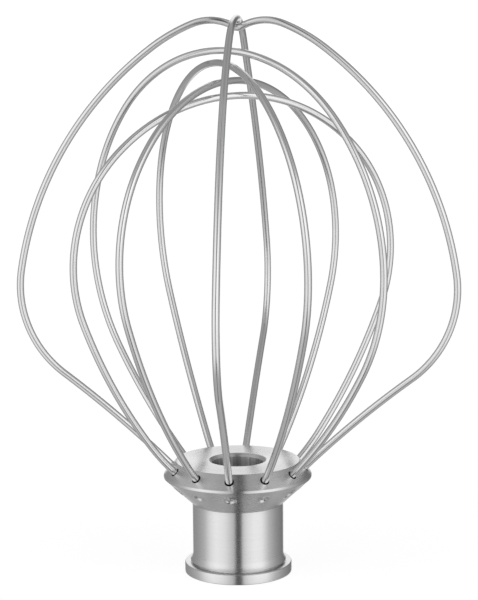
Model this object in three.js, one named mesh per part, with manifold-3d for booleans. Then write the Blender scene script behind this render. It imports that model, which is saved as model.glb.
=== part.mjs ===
// Six-wire whisk attachment for a stand mixer: a turned steel hub, a bayonet sleeve pressed into its
// socket, and six bent wire loops whose ends are staked into the hub.
// Millimetres, +Z up. The origin is on the hub's axis, on the face that the whisk stands on.
import * as THREE from "three";
import { mergeVertices } from "three/addons/utils/BufferGeometryUtils.js";
import Module from "manifold-3d";

// ---- driving dimensions ------------------------------------------------------------------------

// Hub, from the flange upwards
const FLANGE_RADIUS = 14.0;
const FLANGE_THICKNESS = 2.7;
const FLANGE_EDGE_BREAK = 0.3;
const NECK_RADIUS = 11.85;
const NECK_TOP_Z = 18.5;
const RIM_RADIUS = 19.3;
const RIM_LOW_Z = 25.45;
const RIM_HIGH_Z = 26.1;
const TOP_DISC_RADIUS = 16.1;
const TOP_Z = 29.7;

// The neck's foot: it flares out to a lip, and a groove under the lip parts it from the flange
const FOOT_RADIUS = 12.5;
const FOOT_TOP_Z = 5.3;
const FOOT_LIP_Z = 3.3;
const FOOT_LIP_HEIGHT = 0.12;
const FOOT_GROOVE_RADIUS = 11.9;
const FOOT_GROOVE_Z = 3.0;

// Socket for the mixer's shaft
const BORE_RADIUS = 6.7;
const BORE_CHAMFER = 0.8;
const POCKET_RADIUS = 9.3;
const POCKET_TOP_Z = 15.0;
const POCKET_CHAMFER = 0.3;

// Bayonet sleeve in the socket
const SLEEVE_RADIUS = 9.0;
const SLEEVE_LOW_Z = 0.5;
const SLEEVE_HIGH_Z = 14.7;
const SLEEVE_LEAD_IN = 0.7;
const SLEEVE_EDGE_BREAK = 0.3;
const SLOT_WIDTH = 5.0;
const SLOT_ROOF_Z = 11.0;
const SLOT_TURN = 50;
const SLOT_SEAT_DROP = 1.2;

// Wires, and the holes and stake marks that hold them
const WIRE_RADIUS = 0.93;
const WIRE_SIDES = 8;
const WIRE_LEAD = 0.5;
const WIRE_HOLE_RADIUS = 1.2;
const WIRE_HOLE_DEPTH = 7.2;
const WIRE_END_DEPTH = 6.6;
const WIRE_ENTRY_ANGLE = 45;
const MOUTH_RADIUS = 17.55;
const MOUTH_Z = 28.09;
const WIRE_ENDS = 12;
const STAKE_RADIUS = 1.3;
const STAKE_DEPTH = 0.45;
const STAKE_RING_RADIUS = 16.55;

// Each wire is one loop, alike on both sides of the axis. A side leaves the hub's hole as a chain of
// bends, each [length, turn in degrees], and one last arc carries it level over the axis.
// azimuth is the plane of the loop, 0 along -Y and 90 along +X. sway moves the belly of the loop out
// of its plane. crown moves its top and tip its very tip, each [along the plane, across the plane].
const WIRES = [
  {
    name: "wire_wide_under",
    azimuth: 90,
    bends: [[36.2, -7.5], [30.6, 61.3], [68.2, 44.2], [11.8, 15.0], [11.0, 52.0]],
    sway: -3.9,
    crown: [0.8, 0.9],
    tip: [0, 0],
  },
  {
    name: "wire_wide_over",
    azimuth: 0,
    bends: [[39.3, -7.1], [28.5, 72.1], [71.9, 29.0], [7.2, 21.8]],
    sway: 3.0,
    crown: [0.2, -0.8],
    tip: [-0.2, 1.5],
  },
  {
    name: "wire_round_1",
    azimuth: 60,
    bends: [[35.0, 14.5], [29.7, 32.1], [38.6, 38.1]],
    sway: -0.2,
    crown: [-3.5, -0.5],
    tip: [0, 0],
  },
  {
    name: "wire_round_2",
    azimuth: 30,
    bends: [[4.3, 5.8], [43.5, 13.3], [48.6, 64.9]],
    sway: -0.5,
    crown: [-0.2, -4.2],
    tip: [0, 0],
  },
  {
    name: "wire_round_3",
    azimuth: -30,
    bends: [[3.5, 5.5], [46.1, 19.0], [38.0, 54.2]],
    sway: 0,
    crown: [0.2, -0.2],
    tip: [0, 0],
  },
  {
    name: "wire_round_4",
    azimuth: -60,
    bends: [[9.4, 9.0], [37.2, 15.3], [45.6, 65.2]],
    sway: -0.8,
    crown: [-1.3, 0.2],
    tip: [0, 0],
  },
];

// How steeply the shift of a wire's tip sets in towards its highest point
const TIP_POWER = 8;

// How finely round things are faceted: sides of a turned piece, and the longest stretch in millimetres
// and the widest turn in degrees between two sections of a wire
const ROUND_STEPS = 48;
const STATION_LENGTH = 5.2;
const STATION_TURN = 8;
const DEG = Math.PI / 180;

// ---- materials ---------------------------------------------------------------------------------

const turnedSteel = new THREE.MeshStandardMaterial({ color: 0xc3c4c6, roughness: 0.32, metalness: 1.0 });
const sleeveSteel = new THREE.MeshStandardMaterial({ color: 0x9b9c9f, roughness: 0.42, metalness: 1.0 });
const wireSteel = new THREE.MeshStandardMaterial({ color: 0xb9bbbe, roughness: 0.28, metalness: 1.0 });

// ---- solids ------------------------------------------------------------------------------------

const wasm = await Module();
wasm.setup();

function toSolid(geometry) {
  const bare = geometry.clone();
  bare.deleteAttribute("normal");
  bare.deleteAttribute("uv");
  const merged = mergeVertices(bare, 1e-4);
  return new wasm.Manifold(
    new wasm.Mesh({
      numProp: 3,
      vertProperties: new Float32Array(merged.attributes.position.array),
      triVerts: new Uint32Array(merged.index.array),
    }),
  );
}

function toGeometry(solid) {
  const mesh = solid.getMesh();
  const geometry = new THREE.BufferGeometry();
  geometry.setAttribute("position", new THREE.BufferAttribute(new Float32Array(mesh.vertProperties), 3));
  geometry.setIndex(new THREE.BufferAttribute(new Uint32Array(mesh.triVerts), 1));
  geometry.computeVertexNormals();
  return geometry;
}

function subtractAll(body, tools) {
  let solid = toSolid(body);
  for (const tool of tools) {
    solid = solid.subtract(toSolid(tool));
  }
  return toGeometry(solid);
}

// A ring turned about +Z from a closed outline of [radius, height] points
function turned(outline) {
  const points = outline.map(([r, z]) => new THREE.Vector2(r, z));
  points.push(points[0].clone());
  return new THREE.LatheGeometry(points, ROUND_STEPS).rotateX(Math.PI / 2);
}

// Direction in the plane of azimuth a (0 along -Y), at an angle above the horizontal
function direction(azimuth, climb) {
  const a = azimuth * DEG;
  const c = climb * DEG;
  return new THREE.Vector3(Math.sin(a) * Math.cos(c), -Math.cos(a) * Math.cos(c), Math.sin(c));
}

function pointAt(azimuth, radius, z) {
  return direction(azimuth, 0).multiplyScalar(radius).setZ(z);
}

// ---- hub ---------------------------------------------------------------------------------------

// The foot's hollow flare, from its lip up to the neck wall, which it meets upright
function flarePoints() {
  const out = FOOT_RADIUS - NECK_RADIUS;
  const height = FOOT_TOP_Z - FOOT_LIP_Z;
  const radius = (out ** 2 + height ** 2) / (2 * out);
  const sweep = Math.asin(height / radius);
  const steps = 4;
  const points = [];
  for (let i = 0; i <= steps; i += 1) {
    const a = sweep * (1 - i / steps);
    points.push([NECK_RADIUS + radius * (1 - Math.cos(a)), FOOT_TOP_Z - radius * Math.sin(a)]);
  }
  return points;
}

function hubOutline() {
  return [
    [POCKET_RADIUS + POCKET_CHAMFER, 0],
    [FLANGE_RADIUS - FLANGE_EDGE_BREAK, 0],
    [FLANGE_RADIUS, FLANGE_EDGE_BREAK],
    [FLANGE_RADIUS, FLANGE_THICKNESS - FLANGE_EDGE_BREAK],
    [FLANGE_RADIUS - FLANGE_EDGE_BREAK, FLANGE_THICKNESS],
    [FOOT_GROOVE_RADIUS, FLANGE_THICKNESS],
    [FOOT_GROOVE_RADIUS, FOOT_GROOVE_Z],
    [FOOT_RADIUS, FOOT_LIP_Z - FOOT_LIP_HEIGHT],
    ...flarePoints(),
    [NECK_RADIUS, NECK_TOP_Z],
    [RIM_RADIUS, RIM_LOW_Z],
    [RIM_RADIUS, RIM_HIGH_Z],
    [TOP_DISC_RADIUS, TOP_Z],
    [BORE_RADIUS + BORE_CHAMFER, TOP_Z],
    [BORE_RADIUS, TOP_Z - BORE_CHAMFER],
    [BORE_RADIUS, POCKET_TOP_Z],
    [POCKET_RADIUS, POCKET_TOP_Z],
    [POCKET_RADIUS, POCKET_CHAMFER],
  ];
}

// A blind hole for one wire end, drilled square to the sloping band
function wireHole(azimuth) {
  const outward = direction(azimuth, WIRE_ENTRY_ANGLE);
  const overrun = 3;
  const sides = 16;
  const length = WIRE_HOLE_DEPTH + overrun;
  const drill = new THREE.CylinderGeometry(WIRE_HOLE_RADIUS, WIRE_HOLE_RADIUS, length, sides);
  drill.applyQuaternion(new THREE.Quaternion().setFromUnitVectors(new THREE.Vector3(0, 1, 0), outward));
  const middle = pointAt(azimuth, MOUTH_RADIUS, MOUTH_Z);
  middle.addScaledVector(outward, length / 2 - WIRE_HOLE_DEPTH);
  return drill.translate(middle.x, middle.y, middle.z);
}

// A shallow round punch mark on the lower cone, under each wire hole
function stakeMark(azimuth) {
  const run = RIM_RADIUS - NECK_RADIUS;
  const rise = RIM_LOW_Z - NECK_TOP_Z;
  const normalAngle = -Math.atan2(run, rise) / DEG;
  const ringZ = NECK_TOP_Z + (rise * (STAKE_RING_RADIUS - NECK_RADIUS)) / run;
  const ballRadius = (STAKE_RADIUS ** 2 + STAKE_DEPTH ** 2) / (2 * STAKE_DEPTH);
  const centre = pointAt(azimuth, STAKE_RING_RADIUS, ringZ);
  centre.addScaledVector(direction(azimuth, normalAngle), ballRadius - STAKE_DEPTH);
  return new THREE.SphereGeometry(ballRadius, 20, 14).translate(centre.x, centre.y, centre.z);
}

function hubGeometry() {
  const cuts = [];
  for (let i = 0; i < WIRE_ENDS; i += 1) {
    const azimuth = (i * 360) / WIRE_ENDS;
    cuts.push(wireHole(azimuth));
    cuts.push(stakeMark(azimuth));
  }
  return subtractAll(turned(hubOutline()), cuts);
}

// ---- bayonet sleeve ----------------------------------------------------------------------------

function sleeveOutline() {
  return [
    [BORE_RADIUS + SLEEVE_LEAD_IN, SLEEVE_LOW_Z],
    [SLEEVE_RADIUS - SLEEVE_EDGE_BREAK, SLEEVE_LOW_Z],
    [SLEEVE_RADIUS, SLEEVE_LOW_Z + SLEEVE_EDGE_BREAK],
    [SLEEVE_RADIUS, SLEEVE_HIGH_Z],
    [BORE_RADIUS, SLEEVE_HIGH_Z],
    [BORE_RADIUS, SLEEVE_LOW_Z + SLEEVE_LEAD_IN],
  ];
}

// A block that cuts a stretch of the sleeve's wall: from one azimuth to another, between two heights
function wallCut(from, to, low, high) {
  const inner = BORE_RADIUS - 1.5;
  const outer = SLEEVE_RADIUS + 1.5;
  const start = (from - 90) * DEG;
  const end = (to - 90) * DEG;
  const shape = new THREE.Shape();
  shape.absarc(0, 0, outer, start, end, false);
  shape.absarc(0, 0, inner, end, start, true);
  shape.closePath();
  const options = { depth: high - low, bevelEnabled: false, curveSegments: 10 };
  return new THREE.ExtrudeGeometry(shape, options).translate(0, 0, low);
}

// The pin's track: straight up from the bottom, round to one side, then down a little into its seat
function sleeveGeometry() {
  const half = (Math.asin(SLOT_WIDTH / 2 / BORE_RADIUS) / DEG) * 0.9;
  const entry = 180;
  const seat = entry - SLOT_TURN;
  const trackFloorZ = SLOT_ROOF_Z - SLOT_WIDTH;
  const cuts = [
    wallCut(entry - half, entry + half, SLEEVE_LOW_Z - 1, SLOT_ROOF_Z),
    wallCut(seat - half, entry, trackFloorZ, SLOT_ROOF_Z),
    wallCut(seat - half, seat + half * 0.6, trackFloorZ - SLOT_SEAT_DROP, SLOT_ROOF_Z - 1),
  ];
  return subtractAll(turned(sleeveOutline()), cuts);
}

// ---- wires -------------------------------------------------------------------------------------

// One side of a loop as stations {r, z, s}: radius, height and length from the hub
function halfLoop(bends) {
  const lead = direction(90, WIRE_ENTRY_ANGLE).multiplyScalar(WIRE_LEAD);
  const state = { r: MOUTH_RADIUS + lead.x, z: MOUTH_Z + lead.z, heading: WIRE_ENTRY_ANGLE * DEG, s: 0 };
  const stations = [{ r: state.r, z: state.z, s: 0 }];

  function bend(length, turn) {
    const sections = Math.max(length / STATION_LENGTH, Math.abs(turn) / DEG / STATION_TURN);
    const steps = Math.max(1, Math.round(sections));
    const ds = length / steps;
    const dh = turn / steps;
    const chord = Math.abs(dh) < 1e-6 ? ds : (2 * ds * Math.sin(dh / 2)) / dh;
    for (let i = 0; i < steps; i += 1) {
      state.r += chord * Math.cos(state.heading + dh / 2);
      state.z += chord * Math.sin(state.heading + dh / 2);
      state.heading += dh;
      state.s += ds;
      stations.push({ r: state.r, z: state.z, s: state.s });
    }
  }

  for (const [length, turn] of bends) {
    bend(length, turn * DEG);
  }
  // The last arc turns the wire level exactly where it meets the axis
  const rest = Math.PI - state.heading;
  const closing = Math.abs(rest) < 0.01 ? state.r : (state.r * rest) / Math.sin(rest);
  bend(closing, rest);
  return stations;
}

// A curve through given points, with one cross-section at each of them
class Polyline extends THREE.Curve {
  constructor(points) {
    super();
    this.points = points;
  }

  indexAt(u) {
    return Math.round(u * (this.points.length - 1));
  }

  getPointAt(u) {
    return this.points[this.indexAt(u)].clone();
  }

  getTangentAt(u) {
    const i = this.indexAt(u);
    const before = this.points[Math.max(0, i - 1)];
    const after = this.points[Math.min(this.points.length - 1, i + 1)];
    return after.clone().sub(before).normalize();
  }
}

function wirePoints(wire) {
  const stations = halfLoop(wire.bends);
  const total = stations[stations.length - 1].s;
  const start = stations[0].r;
  const widest = Math.max(...stations.map((p) => p.r));
  const along = direction(wire.azimuth, 0);
  const across = direction(wire.azimuth + 90, 0);

  function side(sign) {
    return stations.map(({ r, z, s }) => {
      const t = s / total;
      const belly = (r - start * (1 - t)) / widest;
      const top = t * t * (3 - 2 * t);
      const tip = t ** TIP_POWER;
      const alongShift = wire.crown[0] * top + wire.tip[0] * tip;
      const acrossShift = wire.sway * belly + wire.crown[1] * top + wire.tip[1] * tip;
      return new THREE.Vector3(0, 0, z)
        .addScaledVector(along, sign * r + alongShift)
        .addScaledVector(across, acrossShift);
    });
  }

  function end(azimuth) {
    const outward = direction(azimuth, WIRE_ENTRY_ANGLE);
    return pointAt(azimuth, MOUTH_RADIUS, MOUTH_Z).addScaledVector(outward, -WIRE_END_DEPTH);
  }

  const near = side(1);
  const far = side(-1).reverse();
  return [end(wire.azimuth), ...near, ...far.slice(1), end(wire.azimuth + 180)];
}

function wireGeometry(wire) {
  const section = new THREE.Shape();
  for (let i = 0; i < WIRE_SIDES; i += 1) {
    const a = (i / WIRE_SIDES) * 2 * Math.PI;
    const x = WIRE_RADIUS * Math.cos(a);
    const y = WIRE_RADIUS * Math.sin(a);
    if (i === 0) {
      section.moveTo(x, y);
    } else {
      section.lineTo(x, y);
    }
  }
  section.closePath();
  const path = new Polyline(wirePoints(wire));
  return new THREE.ExtrudeGeometry(section, { steps: path.points.length - 1, extrudePath: path });
}

// ---- the whisk ---------------------------------------------------------------------------------

function piece(name, geometry, material) {
  const mesh = new THREE.Mesh(geometry, material);
  mesh.name = name;
  return mesh;
}

const group = new THREE.Group();
group.add(piece("hub", hubGeometry(), turnedSteel));
group.add(piece("bayonet_sleeve", sleeveGeometry(), sleeveSteel));
for (const wire of WIRES) {
  group.add(piece(wire.name, wireGeometry(wire), wireSteel));
}

export default group;
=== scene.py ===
"""A six-wire whisk attachment for a stand mixer, in turned stainless steel, on a pale studio floor.

The fine surfaces are rebuilt here at the CAD model's own dimensions: the turned hub with its wire holes
and stake marks, the bayonet sleeve in its socket, and the six bent wires.
Lengths are written in millimetres and turned into metres where meshes are made.
"""
import math

import bmesh
import bpy
from mathutils import Matrix, Vector


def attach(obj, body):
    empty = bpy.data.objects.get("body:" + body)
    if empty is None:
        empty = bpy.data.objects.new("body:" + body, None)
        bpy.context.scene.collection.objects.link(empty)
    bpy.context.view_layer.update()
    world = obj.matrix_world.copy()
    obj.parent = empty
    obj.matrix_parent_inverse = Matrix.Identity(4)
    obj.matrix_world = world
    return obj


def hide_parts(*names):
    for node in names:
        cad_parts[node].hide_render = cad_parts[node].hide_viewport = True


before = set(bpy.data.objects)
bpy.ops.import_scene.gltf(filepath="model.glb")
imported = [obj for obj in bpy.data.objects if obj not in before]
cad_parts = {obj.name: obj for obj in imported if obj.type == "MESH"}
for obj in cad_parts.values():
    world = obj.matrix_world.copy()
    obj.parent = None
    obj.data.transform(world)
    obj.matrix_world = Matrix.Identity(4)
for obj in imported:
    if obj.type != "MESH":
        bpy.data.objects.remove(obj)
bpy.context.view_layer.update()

MM = 0.001

# ---- dimensions, as in the CAD source ------------------------------------------------------------

FLANGE_RADIUS = 14.0
FLANGE_THICKNESS = 2.7
NECK_RADIUS = 11.85
FOOT_RADIUS = 12.5
FOOT_TOP_Z = 5.3
FOOT_LIP_Z = 3.3
FOOT_LIP_HEIGHT = 0.12
FOOT_GROOVE_RADIUS = 11.9
FOOT_GROOVE_Z = 3.0
NECK_TOP_Z = 18.5
RIM_RADIUS = 19.3
RIM_LOW_Z = 25.45
RIM_HIGH_Z = 26.1
TOP_DISC_RADIUS = 16.1
TOP_Z = 29.7
BORE_RADIUS = 6.7
BORE_CHAMFER = 0.8
POCKET_RADIUS = 9.3
POCKET_TOP_Z = 15.0

SLEEVE_RADIUS = 9.25
SLEEVE_LOW_Z = 0.5
SLEEVE_HIGH_Z = 14.7
SLEEVE_LEAD_IN = 0.7
SLOT_WIDTH = 5.0
SLOT_ROOF_Z = 11.0
SLOT_TURN = 50
SLOT_SEAT_DROP = 1.2

WIRE_RADIUS = 0.93
WIRE_LEAD = 0.5
WIRE_HOLE_RADIUS = 1.2
WIRE_HOLE_DEPTH = 7.2
WIRE_HOLE_TIP = 0.5
WIRE_HOLE_EDGE = 0.06
WIRE_END_DEPTH = 6.6
WIRE_ENTRY_ANGLE = 45
MOUTH_RADIUS = 17.55
MOUTH_Z = 28.09
WIRE_ENDS = 12
STAKE_RADIUS = 1.3
STAKE_DEPTH = 0.45
STAKE_RING_RADIUS = 16.55

# How steeply the shift of a wire's tip sets in towards its highest point
TIP_POWER = 8

# Each wire: its node, the azimuth of its plane, its bends (length, turn in degrees), the sway of its belly,
# and the shifts of its top and of its very tip, each along and across its plane
WIRES = [
    (
        "wire_wide_under",
        90,
        [(36.2, -7.5), (30.6, 61.3), (68.2, 44.2), (11.8, 15.0), (11.0, 52.0)],
        -3.9,
        (0.8, 0.9),
        (0, 0),
    ),
    (
        "wire_wide_over",
        0,
        [(39.3, -7.1), (28.5, 72.1), (71.9, 29.0), (7.2, 21.8)],
        3.0,
        (0.2, -0.8),
        (-0.2, 1.5),
    ),
    (
        "wire_round_1",
        60,
        [(35.0, 14.5), (29.7, 32.1), (38.6, 38.1)],
        -0.2,
        (-3.5, -0.5),
        (0, 0),
    ),
    (
        "wire_round_2",
        30,
        [(4.3, 5.8), (43.5, 13.3), (48.6, 64.9)],
        -0.5,
        (-0.2, -4.2),
        (0, 0),
    ),
    (
        "wire_round_3",
        -30,
        [(3.5, 5.5), (46.1, 19.0), (38.0, 54.2)],
        0,
        (0.2, -0.2),
        (0, 0),
    ),
    (
        "wire_round_4",
        -60,
        [(9.4, 9.0), (37.2, 15.3), (45.6, 65.2)],
        -0.8,
        (-1.3, 0.2),
        (0, 0),
    ),
]

# How finely the pieces are cut up: parts of a full turn, lengths in millimetres, angles in degrees
HUB_SEGMENTS = 720
SLEEVE_SEGMENTS = 240
DRILL_SIDES = 40
WIRE_SIDES = 20
WIRE_STATION = 0.9
STAKE_SPACING = 0.16
BAND_SPACING = 0.35
PLAIN_SPACING = 1.2
TURNED_SHARP_ANGLE = 24
WIRE_SHARP_ANGLE = 50

# ---- camera --------------------------------------------------------------------------------------

CAMERA_DISTANCE = 485.2
CAMERA_HEIGHT = 147.9
CAMERA_AZIMUTH = 7.085
CAMERA_YAW = 0.081
CAMERA_PITCH = 8.915
CAMERA_ROLL = -0.436
CAMERA_LENS = 114.49
SENSOR_WIDTH = 36
# The nearest and farthest things that are seen, in metres
CLIP_START = 0.02
CLIP_END = 20


def make_camera():
    heading = math.radians(CAMERA_AZIMUTH - CAMERA_YAW)
    pitch = math.radians(CAMERA_PITCH)
    roll = math.radians(CAMERA_ROLL)
    level = Vector((-math.sin(heading), math.cos(heading), 0))
    side = Vector((math.cos(heading), math.sin(heading), 0))
    ahead = level * math.cos(pitch) - Vector((0, 0, math.sin(pitch)))
    above = level * math.sin(pitch) + Vector((0, 0, math.cos(pitch)))
    right = side * math.cos(roll) + above * math.sin(roll)
    up = above * math.cos(roll) - side * math.sin(roll)
    data = bpy.data.cameras.new("camera")
    data.lens = CAMERA_LENS
    data.sensor_width = SENSOR_WIDTH
    data.clip_start = CLIP_START
    data.clip_end = CLIP_END
    camera = bpy.data.objects.new("camera", data)
    azimuth = math.radians(CAMERA_AZIMUTH)
    place = Vector((math.sin(azimuth), -math.cos(azimuth), 0)) * CAMERA_DISTANCE
    place.z = CAMERA_HEIGHT
    turn = Matrix((right, up, -ahead)).transposed().to_4x4()
    camera.matrix_world = Matrix.Translation(place * MM) @ turn
    bpy.context.scene.collection.objects.link(camera)
    bpy.context.scene.camera = camera


# ---- mesh helpers --------------------------------------------------------------------------------


def direction(azimuth, climb=0.0):
    """Unit vector in the upright plane of an azimuth, 0 along -Y and 90 along +X."""
    a = math.radians(azimuth)
    c = math.radians(climb)
    return Vector((math.sin(a) * math.cos(c), -math.cos(a) * math.cos(c), math.sin(c)))


def point_at(azimuth, radius, z):
    spot = direction(azimuth) * radius
    spot.z = z
    return spot


def object_from(name, vertices, faces, material=None):
    mesh = bpy.data.meshes.new(name)
    mesh.from_pydata([tuple(c * MM for c in v) for v in vertices], [], faces)
    mesh.update()
    made = bpy.data.objects.new(name, mesh)
    bpy.context.scene.collection.objects.link(made)
    if material:
        mesh.materials.append(material)
    return made


def arc(centre, radius, start, end, steps):
    """Points [r, z] on an arc in the turning plane, angles in degrees from +r."""
    points = []
    for i in range(steps + 1):
        a = math.radians(start + (end - start) * i / steps)
        points.append((centre[0] + radius * math.cos(a), centre[1] + radius * math.sin(a)))
    return points


def rounded(corners, radii, steps=4):
    """A closed outline whose corners are turned with small radii; a radius of 0 leaves a corner sharp."""
    outline = []
    count = len(corners)
    for i, (corner, radius) in enumerate(zip(corners, radii)):
        here = Vector(corner)
        if radius <= 0:
            outline.append(tuple(here))
            continue
        back = (Vector(corners[i - 1]) - here).normalized()
        ahead = (Vector(corners[(i + 1) % count]) - here).normalized()
        half = back.angle(ahead) / 2
        reach = radius / math.tan(half)
        centre = here + (back + ahead).normalized() * (radius / math.sin(half))
        first = here + back * reach - centre
        last = here + ahead * reach - centre
        swing = first.angle_signed(last)
        for k in range(steps + 1):
            a = -swing * k / steps
            outline.append(
                (
                    centre.x + first.x * math.cos(a) - first.y * math.sin(a),
                    centre.y + first.x * math.sin(a) + first.y * math.cos(a),
                )
            )
    return outline


def divided(outline, longest):
    """The closed outline with every stretch cut to pieces no longer than longest(r, z)."""
    points = []
    for i, here in enumerate(outline):
        there = outline[(i + 1) % len(outline)]
        length = math.dist(here, there)
        middle = ((here[0] + there[0]) / 2, (here[1] + there[1]) / 2)
        steps = max(1, math.ceil(length / longest(*middle)))
        for k in range(steps):
            t = k / steps
            points.append((here[0] + (there[0] - here[0]) * t, here[1] + (there[1] - here[1]) * t))
    return points


def turned(name, outline, segments, shift=None):
    """A ring turned about +Z from a closed outline of (r, z) points. shift may move each point."""
    count = len(outline)
    vertices = []
    for j in range(segments):
        azimuth = 360 * j / segments
        for r, z in outline:
            spot = point_at(azimuth, r, z)
            if shift:
                spot = shift(spot, azimuth, r, z)
            vertices.append(spot)
    faces = []
    for j in range(segments):
        nxt = (j + 1) % segments
        for i in range(count):
            up = (i + 1) % count
            faces.append((j * count + i, nxt * count + i, nxt * count + up, j * count + up))
    return object_from(name, vertices, faces)


def cut(body, cutters):
    """Subtracts the cutters from body and keeps the result as body's own mesh."""
    for cutter in cutters:
        step = body.modifiers.new("cut", "BOOLEAN")
        step.operation = "DIFFERENCE"
        step.solver = "EXACT"
        step.object = cutter
    bpy.context.view_layer.update()
    graph = bpy.context.evaluated_depsgraph_get()
    result = bpy.data.meshes.new_from_object(body.evaluated_get(graph))
    body.modifiers.clear()
    old = body.data
    body.data = result
    bpy.data.meshes.remove(old)
    for cutter in cutters:
        mesh = cutter.data
        bpy.data.objects.remove(cutter)
        bpy.data.meshes.remove(mesh)


def joined(objects):
    """One object from several that don't touch."""
    first = objects[0]
    whole = bmesh.new()
    for each in objects:
        whole.from_mesh(each.data)
    whole.to_mesh(first.data)
    whole.free()
    for each in objects[1:]:
        mesh = each.data
        bpy.data.objects.remove(each)
        bpy.data.meshes.remove(mesh)
    return first


def smooth(body, sharp_angle):
    body.data.shade_smooth()
    body.data.set_sharp_from_angle(angle=math.radians(sharp_angle))


# ---- procedural steel ----------------------------------------------------------------------------


class Nodes:
    """Short-hand for building a node tree."""

    def __init__(self, tree):
        self.tree = tree

    def add(self, kind, **settings):
        node = self.tree.nodes.new(kind)
        for key, value in settings.items():
            setattr(node, key, value)
        return node

    def link(self, source, target):
        self.tree.links.new(source, target)

    def math(self, operation, first, second=None, third=None):
        node = self.add("ShaderNodeMath", operation=operation)
        for socket, value in zip(node.inputs, (first, second, third)):
            if value is None:
                continue
            if isinstance(value, (int, float)):
                socket.default_value = value
            else:
                self.link(value, socket)
        return node.outputs[0]

    def noise(self, vector, scale, detail=2.0, roughness=0.5, dimensions="3D"):
        node = self.add("ShaderNodeTexNoise", noise_dimensions=dimensions)
        node.inputs["Scale"].default_value = scale
        node.inputs["Detail"].default_value = detail
        node.inputs["Roughness"].default_value = roughness
        self.link(vector, node.inputs["Vector"])
        return node.outputs["Fac"]

    def spread(self, value, low, high, out_low, out_high):
        node = self.add("ShaderNodeMapRange")
        self.link(value, node.inputs["Value"])
        for key, number in zip(("From Min", "From Max", "To Min", "To Max"), (low, high, out_low, out_high)):
            node.inputs[key].default_value = number
        return node.outputs["Result"]

    def combine(self, x, y, z):
        node = self.add("ShaderNodeCombineXYZ")
        for socket, value in zip(node.inputs, (x, y, z)):
            if isinstance(value, (int, float)):
                socket.default_value = value
            else:
                self.link(value, socket)
        return node.outputs[0]

    def grey(self, value):
        node = self.add("ShaderNodeCombineColor")
        for socket in node.inputs:
            self.link(value, socket)
        return node.outputs[0]

    def bump(self, height, distance, strength, normal=None):
        node = self.add("ShaderNodeBump")
        node.inputs["Distance"].default_value = distance
        node.inputs["Strength"].default_value = strength
        self.link(height, node.inputs["Height"])
        if normal:
            self.link(normal, node.inputs["Normal"])
        return node.outputs["Normal"]

    def around(self, value, swing):
        """Turns a noise, most of which lies within 0.3 to 0.7, into a change of up to swing either way."""
        return self.spread(value, 0.3, 0.7, -swing, swing)


def new_material(name):
    """A material, the short-hand for its nodes, and its shader."""
    material = bpy.data.materials.new(name)
    material.use_nodes = True
    return material, Nodes(material.node_tree), material.node_tree.nodes["Principled BSDF"]


def turned_steel(name, grey, roughness, groove, anisotropy, reflection_streaks=0.0):
    """Steel off a lathe: fine rings round the axis, with slow cloudy changes in tone and polish.

    groove is the depth of the rings in millimetres. The last argument paints upright streaks into the tone:
    painted reflections of the bore's walls in one another. Noise scales are in features a metre.
    """
    ring_scale, band_scale, cloud_scale, streak_scale = 5200, 1300, 90, 9.0
    # how far the pattern moves on round the axis, in metres a radian: little, so that it makes rings
    ring_drift = 0.00006
    material, n, shader = new_material(name)
    place = n.add("ShaderNodeTexCoord").outputs["Object"]
    split = n.add("ShaderNodeSeparateXYZ")
    n.link(place, split.inputs[0])
    x, y, z = split.outputs
    radius = n.math("SQRT", n.math("ADD", n.math("MULTIPLY", x, x), n.math("MULTIPLY", y, y)))
    angle = n.math("ARCTAN2", y, x)
    rings = n.combine(radius, n.math("MULTIPLY", angle, ring_drift), z)
    fine = n.noise(rings, ring_scale, 3.0, 0.6)
    broad = n.noise(rings, band_scale, 2.0, 0.5)
    cloud = n.noise(place, cloud_scale, 2.0, 0.5)
    tone = n.math("ADD", n.around(fine, 0.012), n.around(cloud, 0.01))
    tone = n.math("ADD", tone, grey)
    # painted reflections: upright streaks in tone that stand in for the bore's walls mirrored in one another
    if reflection_streaks:
        streaks = n.noise(n.combine(angle, 0.0, 0.0), streak_scale, 3.0, 0.6)
        tone = n.math("ADD", tone, n.spread(streaks, 0.35, 0.65, -reflection_streaks, reflection_streaks))
    n.link(n.grey(tone), shader.inputs["Base Color"])
    polish = n.math("ADD", n.around(broad, 0.015), n.around(cloud, 0.01))
    n.link(n.math("ADD", polish, roughness), shader.inputs["Roughness"])
    relief = n.math("ADD", fine, n.math("MULTIPLY", broad, 0.6))
    n.link(n.bump(relief, groove * MM, 1.0), shader.inputs["Normal"])
    shader.inputs["Metallic"].default_value = 1.0
    shader.inputs["Anisotropic"].default_value = anisotropy
    shader.inputs["Anisotropic Rotation"].default_value = 0.25
    tangent = n.add("ShaderNodeTangent", direction_type="RADIAL", axis="Z")
    n.link(tangent.outputs[0], shader.inputs["Tangent"])
    return material


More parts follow.
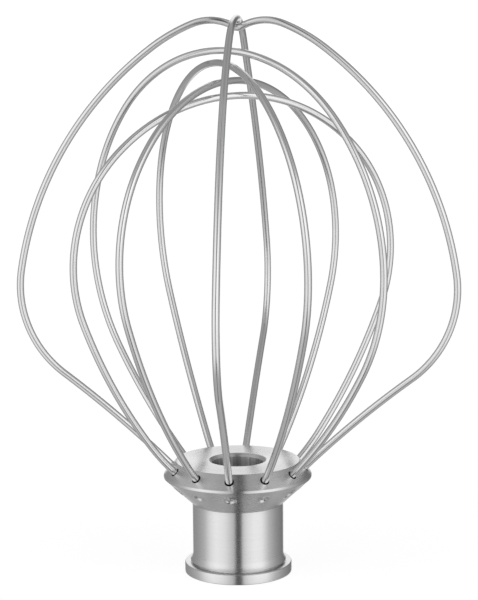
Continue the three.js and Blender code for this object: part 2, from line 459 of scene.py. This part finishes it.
def drawn_steel(name, grey, roughness):
    """Drawn wire: faint streaks along its length, a little handling haze, and a fine grain."""
    streak_scale, haze_scale, grain_scale = 26, 90, 2600
    # the streaks change this much more slowly along the wire than around it
    streak_stretch = 0.02
    relief_depth = 0.0015
    material, n, shader = new_material(name)
    uv = n.add("ShaderNodeUVMap", uv_map="wire").outputs[0]
    split = n.add("ShaderNodeSeparateXYZ")
    n.link(uv, split.inputs[0])
    around, along = split.outputs[0], split.outputs[1]
    streak_place = n.combine(around, n.math("MULTIPLY", along, streak_stretch), 0.0)
    streak = n.noise(streak_place, streak_scale, 3.0, 0.6)
    place = n.add("ShaderNodeTexCoord").outputs["Object"]
    haze = n.noise(place, haze_scale, 3.0, 0.6)
    grain = n.noise(place, grain_scale, 2.0, 0.6)
    tone = n.math("ADD", n.around(streak, 0.02), n.around(haze, 0.015))
    n.link(n.grey(n.math("ADD", tone, grey)), shader.inputs["Base Color"])
    polish = n.math("ADD", n.spread(haze, 0.3, 0.7, -0.02, 0.03), n.around(grain, 0.01))
    n.link(n.math("ADD", polish, roughness), shader.inputs["Roughness"])
    relief = n.math("ADD", streak, n.math("MULTIPLY", grain, 0.1))
    n.link(n.bump(relief, relief_depth * MM, 1.0), shader.inputs["Normal"])
    shader.inputs["Metallic"].default_value = 1.0
    return material


# ---- hub -----------------------------------------------------------------------------------------


def foot_flare():
    """The neck's foot, from its lip up: a hollow arc that leaves the neck wall upright."""
    out, height = FOOT_RADIUS - NECK_RADIUS, FOOT_TOP_Z - FOOT_LIP_Z
    radius = (out * out + height * height) / (2 * out)
    sweep = math.degrees(math.asin(height / radius))
    return arc((NECK_RADIUS + radius, FOOT_TOP_Z), radius, 180 + sweep, 180, 10)


def hub_outline():
    flare = foot_flare()
    corners = [
        (POCKET_RADIUS, 0.0),
        (FLANGE_RADIUS, 0.0),
        (FLANGE_RADIUS, FLANGE_THICKNESS),
        (FOOT_GROOVE_RADIUS, FLANGE_THICKNESS),
        (FOOT_GROOVE_RADIUS, FOOT_GROOVE_Z),
        (FOOT_RADIUS, FOOT_LIP_Z - FOOT_LIP_HEIGHT),
        *flare,
        (NECK_RADIUS, NECK_TOP_Z),
        (RIM_RADIUS, RIM_LOW_Z),
        (RIM_RADIUS, RIM_HIGH_Z),
        (TOP_DISC_RADIUS, TOP_Z),
        (BORE_RADIUS + BORE_CHAMFER, TOP_Z),
        (BORE_RADIUS, TOP_Z - BORE_CHAMFER),
        (BORE_RADIUS, POCKET_TOP_Z),
        (POCKET_RADIUS, POCKET_TOP_Z),
    ]
    # the rounding of each corner, in the same order
    below_flare = [0.3, 0.25, 0.3, 0, 0, 0.05]
    above_flare = [0.3, 0.22, 0.22, 0.15, 0.1, 0.1, 0.1, 0.1]
    return rounded(corners, [*below_flare, *[0] * len(flare), *above_flare])


CONE_RUN = RIM_RADIUS - NECK_RADIUS
CONE_RISE = RIM_LOW_Z - NECK_TOP_Z
CONE_LENGTH = math.hypot(CONE_RUN, CONE_RISE)


def cone_place(r, z):
    """How far up the cone's slope a point of the outline is, and whether it is on the cone at all."""
    along = (r - NECK_RADIUS) * CONE_RUN / CONE_LENGTH + (z - NECK_TOP_Z) * CONE_RISE / CONE_LENGTH
    off = abs((r - NECK_RADIUS) * CONE_RISE - (z - NECK_TOP_Z) * CONE_RUN) / CONE_LENGTH
    return along, off < 0.02


def bulge(distance, middle, width):
    """A smooth rise to 1 at a distance of middle, about twice width across."""
    return math.exp(-(((distance - middle) / width) ** 2))


def stake_depth(distance):
    """Depth of a punch mark at a distance from its centre: a shallow pit, a deeper ring, a raised lip."""
    pit = max(0.0, 1 - (distance / STAKE_RADIUS) ** 2) * STAKE_DEPTH * 0.35
    ring = STAKE_DEPTH * 0.6 * bulge(distance, STAKE_RADIUS * 0.62, 0.3)
    lip = 0.1 * bulge(distance, STAKE_RADIUS * 1.15, 0.22)
    return pit + ring - lip


def shift_stakes(spot, azimuth, r, z):
    """Sinks the ring of stake marks into the cone."""
    along, on_cone = cone_place(r, z)
    end_margin = 0.2
    if not on_cone or not end_margin < along < CONE_LENGTH - end_margin:
        return spot
    spacing = 360 / WIRE_ENDS
    offset = (azimuth + spacing / 2) % spacing - spacing / 2
    sideways = math.radians(offset) * r
    ring_along = (STAKE_RING_RADIUS - NECK_RADIUS) * CONE_LENGTH / CONE_RUN
    distance = math.hypot(sideways, along - ring_along)
    if distance > STAKE_RADIUS * 1.9:
        return spot
    outward = direction(azimuth, -math.degrees(math.atan2(CONE_RUN, CONE_RISE)))
    return spot - outward * stake_depth(distance)


def ring_spacing(r, z):
    """Finer rings where the stake marks and the wire holes are."""
    _, on_cone = cone_place(r, z)
    if on_cone and abs(r - STAKE_RING_RADIUS) < 2.0:
        return STAKE_SPACING
    if z > RIM_HIGH_Z and r > TOP_DISC_RADIUS:
        return BAND_SPACING
    return PLAIN_SPACING


def drill(azimuth):
    """The shape of a drill and its small countersink, for one wire hole."""
    edge, overrun, sides = WIRE_HOLE_EDGE, 2.0, DRILL_SIDES
    outline = [
        (0.0, -WIRE_HOLE_DEPTH),
        (WIRE_HOLE_RADIUS, -WIRE_HOLE_DEPTH + WIRE_HOLE_TIP),
        (WIRE_HOLE_RADIUS, -edge),
        (WIRE_HOLE_RADIUS + edge * 2, edge),
        (WIRE_HOLE_RADIUS + edge * 2, overrun),
        (0.0, overrun),
    ]
    outward = direction(azimuth, WIRE_ENTRY_ANGLE)
    turn = Vector((0, 0, 1)).rotation_difference(outward)
    mouth = point_at(azimuth, MOUTH_RADIUS, MOUTH_Z)
    vertices = [turn @ Vector((0, 0, outline[0][1])) + mouth]
    for r, h in outline[1:-1]:
        for k in range(sides):
            a = 2 * math.pi * k / sides
            vertices.append(turn @ Vector((r * math.cos(a), r * math.sin(a), h)) + mouth)
    vertices.append(turn @ Vector((0, 0, outline[-1][1])) + mouth)
    faces = [(0, 1 + (k + 1) % sides, 1 + k) for k in range(sides)]
    levels = len(outline) - 2
    for level in range(levels - 1):
        low = 1 + level * sides
        for k in range(sides):
            nxt = (k + 1) % sides
            faces.append((low + k, low + nxt, low + sides + nxt, low + sides + k))
    top = 1 + (levels - 1) * sides
    last = len(vertices) - 1
    faces += [(top + k, top + (k + 1) % sides, last) for k in range(sides)]
    return object_from("drill", vertices, faces)


def make_hub(material, bore_material):
    outline = divided(hub_outline(), ring_spacing)
    hub = turned("hub_turned", outline, HUB_SEGMENTS, shift_stakes)
    drills = joined([drill(360 * i / WIRE_ENDS) for i in range(WIRE_ENDS)])
    cut(hub, [drills])
    hub.data.materials.clear()
    hub.data.materials.append(material)
    hub.data.materials.append(bore_material)
    wall_slack = 0.05
    for polygon in hub.data.polygons:
        centre = polygon.center / MM
        if math.hypot(centre.x, centre.y) < BORE_RADIUS + wall_slack:
            polygon.material_index = 1
    smooth(hub, TURNED_SHARP_ANGLE)
    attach(hub, "root")
    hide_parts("hub")


# ---- bayonet sleeve ------------------------------------------------------------------------------


def wall_cut(start, end, low, high):
    """A block that cuts a stretch of the sleeve's wall between two azimuths and two heights."""
    overrun, steps = 1.5, 16
    inner, outer = BORE_RADIUS - overrun, SLEEVE_RADIUS + overrun
    vertices = []
    for k in range(steps + 1):
        azimuth = start + (end - start) * k / steps
        for r, z in ((inner, low), (outer, low), (outer, high), (inner, high)):
            vertices.append(point_at(azimuth, r, z))
    faces = [(0, 1, 2, 3)]
    for k in range(steps):
        for i in range(4):
            a, b = k * 4 + i, k * 4 + (i + 1) % 4
            faces.append((a, a + 4, b + 4, b))
    end_face = steps * 4
    faces.append((end_face + 3, end_face + 2, end_face + 1, end_face))
    return object_from("wall_cut", vertices, faces)


def make_sleeve(material):
    corners = [
        (BORE_RADIUS + SLEEVE_LEAD_IN, SLEEVE_LOW_Z),
        (SLEEVE_RADIUS, SLEEVE_LOW_Z),
        (SLEEVE_RADIUS, SLEEVE_HIGH_Z),
        (BORE_RADIUS, SLEEVE_HIGH_Z),
        (BORE_RADIUS, SLEEVE_LOW_Z + SLEEVE_LEAD_IN),
    ]
    edge_radii = [0.1, 0.25, 0.1, 0.1, 0.1]
    outline = divided(rounded(corners, edge_radii), lambda r, z: 1.0)
    sleeve = turned("sleeve_bayonet", outline, SLEEVE_SEGMENTS)
    # half the slot's width as an azimuth, midway through the sleeve's wall
    half = math.degrees(math.asin(SLOT_WIDTH / 2 / BORE_RADIUS)) * 0.9
    entry = 180
    seat = entry - SLOT_TURN
    floor = SLOT_ROOF_Z - SLOT_WIDTH
    for block in (
        (entry - half, entry + half, SLEEVE_LOW_Z - 1, SLOT_ROOF_Z),
        (seat - half, entry, floor, SLOT_ROOF_Z),
        (seat - half, seat + half * 0.6, floor - SLOT_SEAT_DROP, SLOT_ROOF_Z - 1),
    ):
        cut(sleeve, [wall_cut(*block)])
    sleeve.data.materials.clear()
    sleeve.data.materials.append(material)
    smooth(sleeve, TURNED_SHARP_ANGLE)
    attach(sleeve, "root")
    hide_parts("bayonet_sleeve")


# ---- wires ---------------------------------------------------------------------------------------


def half_loop(bends):
    """One side of a loop as (radius, height, length from the hub), to where it is level over the axis."""
    lead = direction(90, WIRE_ENTRY_ANGLE) * WIRE_LEAD
    r, z = MOUTH_RADIUS + lead.x, MOUTH_Z + lead.z
    heading, s = math.radians(WIRE_ENTRY_ANGLE), 0.0
    stations = [(r, z, s)]

    def bend(r, z, heading, s, length, turn):
        steps = max(2, round(length / WIRE_STATION))
        ds, dh = length / steps, turn / steps
        chord = ds if abs(dh) < 1e-7 else 2 * ds * math.sin(dh / 2) / dh
        for _ in range(steps):
            r += chord * math.cos(heading + dh / 2)
            z += chord * math.sin(heading + dh / 2)
            heading += dh
            s += ds
            stations.append((r, z, s))
        return r, z, heading, s

    for length, turn in bends:
        r, z, heading, s = bend(r, z, heading, s, length, math.radians(turn))
    rest = math.pi - heading
    closing = r if abs(rest) < 0.01 else r * rest / math.sin(rest)
    bend(r, z, heading, s, closing, rest)
    return stations


def wire_points(azimuth, bends, sway, crown, tip):
    stations = half_loop(bends)
    total = stations[-1][2]
    start = stations[0][0]
    widest = max(r for r, _, _ in stations)
    along = direction(azimuth)
    across = direction(azimuth + 90)

    def side(sign):
        points = []
        for r, z, s in stations:
            t = s / total
            belly = (r - start * (1 - t)) / widest
            top = t * t * (3 - 2 * t)
            end = t**TIP_POWER
            along_shift = crown[0] * top + tip[0] * end
            across_shift = sway * belly + crown[1] * top + tip[1] * end
            spot = along * (sign * r + along_shift) + across * across_shift
            spot.z = z
            points.append(spot)
        return points

    def tail(at):
        outward = direction(at, WIRE_ENTRY_ANGLE)
        mouth = point_at(at, MOUTH_RADIUS, MOUTH_Z)
        return [mouth - outward * (WIRE_END_DEPTH * (1 - k / 4)) for k in range(4)]

    near, far = side(1), side(-1)
    return tail(azimuth) + near + far[::-1][1:] + tail(azimuth + 180)[::-1]


def make_wire(name, node, points, material):
    sides = WIRE_SIDES
    count = len(points)
    tangents = []
    for i in range(count):
        before, after = points[max(0, i - 1)], points[min(count - 1, i + 1)]
        tangents.append((after - before).normalized())
    # a frame carried along the wire without twist
    normal = tangents[0].orthogonal().normalized()
    vertices, lengths, run = [], [], 0.0
    for i, (spot, tangent) in enumerate(zip(points, tangents)):
        if i:
            turn = tangents[i - 1].rotation_difference(tangent)
            normal = (turn @ normal).normalized()
            run += (spot - points[i - 1]).length
        lengths.append(run)
        binormal = tangent.cross(normal)
        for k in range(sides):
            a = 2 * math.pi * k / sides
            vertices.append(spot + (normal * math.cos(a) + binormal * math.sin(a)) * WIRE_RADIUS)
    faces, corners = [], []
    for i in range(count - 1):
        for k in range(sides):
            nxt = (k + 1) % sides
            faces.append((i * sides + k, i * sides + nxt, (i + 1) * sides + nxt, (i + 1) * sides + k))
            corners.append(((k, i), (k + 1, i), (k + 1, i + 1), (k, i + 1)))
    faces.append(tuple(reversed(range(sides))))
    faces.append(tuple((count - 1) * sides + k for k in range(sides)))
    wire = object_from(name, vertices, faces, material)
    # the map runs once around the wire, and on by 1 for every 6 mm of its length
    layer = wire.data.uv_layers.new(name="wire")
    for polygon, square in zip(wire.data.polygons, corners):
        for loop, (k, i) in zip(polygon.loop_indices, square):
            layer.data[loop].uv = (k / sides, lengths[i] / 6.0)
    smooth(wire, WIRE_SHARP_ANGLE)
    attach(wire, "root")
    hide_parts(node)
    return wire


# ---- studio --------------------------------------------------------------------------------------

# Brightness of the studio going round, from straight behind the object by way of its left, the camera
# and its right: (degrees to the right of the camera, level). A tall white panel stands on each side,
# the corners behind the panels fall away, and a white backdrop closes the far side.
ROUND_LEVELS = [
    (-180, 1.00),
    (-168, 0.92),
    (-160, 0.28),
    (-145, 0.33),
    (-120, 0.40),
    (-95, 0.56),
    (-75, 0.96),
    (-58, 1.13),
    (-35, 1.02),
    (-4, 0.50),
    (10, 0.72),
    (24, 0.98),
    (42, 1.14),
    (62, 1.10),
    (85, 0.60),
    (110, 0.37),
    (148, 0.20),
    (160, 0.24),
    (168, 0.92),
    (180, 1.00),
]
# How far the panels count at a height above or below eye level, in degrees
PANEL_SHARE = [
    (-90, 0.0),
    (-52, 0.0),
    (-34, 0.92),
    (-10, 1.0),
    (8, 1.15),
    (26, 1.15),
    (38, 1.15),
    (50, 0.0),
    (90, 0.0),
]
# The grey ceiling and floor of the studio, seen past the ends of the panels, by height
CEILING_LEVELS = [(-90, 0.39), (-45, 0.46), (45, 0.44), (75, 0.36), (90, 0.34)]
# The dark gap between the panels that the camera looks through. It is a band that runs from under the
# object, past the camera, to high over it: (degrees to the right of the camera, level)
GAP_LEVELS = [(-90, 1.0), (-7.2, 1.0), (-5.8, 0.12), (7.9, 0.12), (9.3, 1.0), (90, 1.0)]


def level_ramp(n, value, low, high, levels):
    """A colour ramp that reads a level off a list of (place, level) pairs. Levels may pass 1."""
    most = max(level for _, level in levels)
    ramp = n.add("ShaderNodeValToRGB")
    stops = ramp.color_ramp.elements
    while len(stops) < len(levels):
        stops.new(0.5)
    for stop, (place, level) in zip(stops, levels):
        stop.position = (place - low) / (high - low)
        stop.color = (level / most, level / most, level / most, 1)
    n.link(n.spread(value, low, high, 0, 1), ramp.inputs["Fac"])
    return n.math("MULTIPLY", ramp.outputs["Color"], most)


def make_world():
    world = bpy.data.worlds.new("studio")
    bpy.context.scene.world = world
    world.use_nodes = True
    n = Nodes(world.node_tree)
    turn = n.add("ShaderNodeVectorRotate", rotation_type="Z_AXIS")
    turn.inputs["Angle"].default_value = math.radians(-CAMERA_AZIMUTH)
    n.link(n.add("ShaderNodeTexCoord").outputs["Generated"], turn.inputs["Vector"])
    split = n.add("ShaderNodeSeparateXYZ")
    n.link(turn.outputs[0], split.inputs[0])
    x, y, z = split.outputs
    heading = n.math("DEGREES", n.math("ARCTAN2", x, n.math("MULTIPLY", y, -1.0)))
    height = n.math("DEGREES", n.math("ARCSINE", z))
    around = level_ramp(n, heading, -180, 180, ROUND_LEVELS)
    share = level_ramp(n, height, -90, 90, PANEL_SHARE)
    ceiling = level_ramp(n, height, -90, 90, CEILING_LEVELS)
    over_ceiling = n.math("SUBTRACT", around, ceiling)
    level = n.math("MULTIPLY_ADD", over_ceiling, share, ceiling)
    sideways = n.math("DEGREES", n.math("ARCSINE", x))
    gap = level_ramp(n, sideways, -90, 90, GAP_LEVELS)
    # the band ends well short of straight up, and a little past straight down
    below = n.math("MAXIMUM", n.math("MULTIPLY", z, -1.0), 0.0)
    towards_camera = n.math("MULTIPLY_ADD", below, 0.5, n.math("MULTIPLY", y, -1.0))
    shown = n.spread(towards_camera, 0.1, 0.3, 0.0, 1.0)
    # near straight down the band is less dark
    shown = n.math("MULTIPLY", shown, n.spread(z, -0.95, -0.8, 0.78, 1.0))
    gap = n.math("MULTIPLY_ADD", n.math("SUBTRACT", gap, 1.0), shown, 1.0)
    # the backdrop's foot, straight behind and a little below eye level, lies in the dark
    straight = n.spread(n.math("ABSOLUTE", x), 0.1, 0.16, 1.0, 0.0)
    behind = n.math("MULTIPLY", straight, n.math("GREATER_THAN", y, 0.0))
    foot = n.math("MULTIPLY", n.spread(z, -0.2, -0.12, 1.0, 0.0), n.spread(z, -0.42, -0.36, 0.0, 1.0))
    darkened = n.math("MULTIPLY_ADD", n.math("MULTIPLY", behind, foot), -0.9, 1.0)
    level = n.math("MULTIPLY", level, darkened)
    n.link(n.grey(n.math("MULTIPLY", level, gap)), world.node_tree.nodes["Background"].inputs["Color"])


# The floor: a flat disc that curves up into a wall all the way round
FLOOR_RADIUS = 1500.0
FLOOR_CURVE = 700.0
FLOOR_WALL_TOP = 2600.0
FLOOR_MIDDLE_RADIUS = 250.0
FLOOR_SIDES = 96
FLOOR_CURVE_STEPS = 16
# The floor lies this little below the hub, so that the two faces don't flicker; the shade lies between
FLOOR_DROP = 0.02
SHADE_DROP = 0.01
SHADE_RADIUS = FLANGE_RADIUS - 0.6
SHADE_SIDES = 64


def make_floor():
    """A shallow white bowl that glows a little by itself."""
    material, _, shader = new_material("floor_paper")
    shader.inputs["Base Color"].default_value = (0.4, 0.4, 0.4, 1)
    shader.inputs["Roughness"].default_value = 0.9
    shader.inputs["Specular IOR Level"].default_value = 0.0
    shader.inputs["Emission Color"].default_value = (1, 1, 1, 1)
    shader.inputs["Emission Strength"].default_value = 0.8
    rows = [(FLOOR_MIDDLE_RADIUS, 0.0), (FLOOR_RADIUS, 0.0)]
    rows += [
        (FLOOR_RADIUS + r, FLOOR_CURVE + z)
        for r, z in arc((0, 0), FLOOR_CURVE, -90, 0, FLOOR_CURVE_STEPS)[1:]
    ]
    rows.append((FLOOR_RADIUS + FLOOR_CURVE, FLOOR_WALL_TOP))
    sides = FLOOR_SIDES
    vertices = [(0, 0, -FLOOR_DROP)]
    for r, z in rows:
        vertices += [point_at(360 * k / sides, r, z - FLOOR_DROP) for k in range(sides)]
    faces = [(0, 1 + k, 1 + (k + 1) % sides) for k in range(sides)]
    for i in range(len(rows) - 1):
        low, high = 1 + i * sides, 1 + (i + 1) * sides
        for k in range(sides):
            nxt = (k + 1) % sides
            faces.append((low + k, high + k, high + nxt, low + nxt))
    floor = object_from("floor", vertices, faces, material)
    floor.data.shade_smooth()
    floor.visible_glossy = False
    floor.visible_diffuse = False
    floor.visible_shadow = False


def make_shade():
    """A grey disc right under the hub, painted shade for the paper there that no light reaches: the bore
    reflects it, and it closes the socket from below.
    """
    material, _, shader = new_material("floor_shade")
    # a plain grey that doesn't glow like the floor: painted shade
    shader.inputs["Base Color"].default_value = (0.5, 0.5, 0.5, 1)
    shader.inputs["Roughness"].default_value = 0.9
    rim = [point_at(360 * k / SHADE_SIDES, SHADE_RADIUS, -SHADE_DROP) for k in range(SHADE_SIDES)]
    shade = object_from("floor_shade", rim, [tuple(range(SHADE_SIDES))], material)


# Soft lights that only the wires see, all aimed at the middle of the cage: name, azimuth, distance from
# the axis, height, width and length in metres, and watts
CAGE_MIDDLE = 0.09
WIRE_LIGHTS = [
    ("wire_light", CAMERA_AZIMUTH + 12, 1.6, CAGE_MIDDLE, 1.05, 2.6, 1.9),
    ("wire_light_above", CAMERA_AZIMUTH, 0.8, 1.6, 1.6, 1.0, 0.95),
    ("wire_light_below", CAMERA_AZIMUTH, 0.2, -1.4, 2.0, 2.0, 1.1),
]


def make_wire_lights(wires):
    lit = bpy.data.collections.new("lit_wires")
    for wire in wires:
        lit.objects.link(wire)
    for name, azimuth, distance, height, width, length, watts in WIRE_LIGHTS:
        data = bpy.data.lights.new(name, "AREA")
        data.shape = "RECTANGLE"
        data.size = width
        data.size_y = length
        data.energy = watts
        light = bpy.data.objects.new(name, data)
        place = direction(azimuth) * distance
        place.z = height
        light.location = place
        aim = Vector((0, 0, CAGE_MIDDLE)) - place
        light.rotation_euler = aim.to_track_quat("-Z", "Z").to_euler()
        light.visible_camera = False
        light.light_linking.receiver_collection = lit
        bpy.context.scene.collection.objects.link(light)


def make_studio():
    make_floor()
    make_shade()
    make_world()
    bpy.context.scene.view_settings.view_transform = "Standard"
    bpy.context.scene.view_settings.look = "None"


# ---- the scene -----------------------------------------------------------------------------------

make_camera()
hub_material = turned_steel("turned_stainless", grey=0.73, roughness=0.27, groove=0.0006, anisotropy=0.8)
# the bore's steel is a rougher bored finish, and its grey is painted darker than the hub's: painted shade in
# the socket
bore_material = turned_steel(
    "bored_stainless_painted_shade", grey=0.58, roughness=0.4, groove=0.0006, anisotropy=0.85, reflection_streaks=0.2
)
sleeve_material = turned_steel("machined_stainless", grey=0.55, roughness=0.36, groove=0.003, anisotropy=0.8)
wire_material = drawn_steel("drawn_stainless", grey=0.73, roughness=0.12)
make_hub(hub_material, bore_material)
make_sleeve(sleeve_material)
wires = []
for node, azimuth, bends, sway, crown, tip in WIRES:
    name = node.replace("wire_", "loop_")
    points = wire_points(azimuth, bends, sway, crown, tip)
    wires.append(make_wire(name, node, points, wire_material))
make_studio()
make_wire_lights(wires)
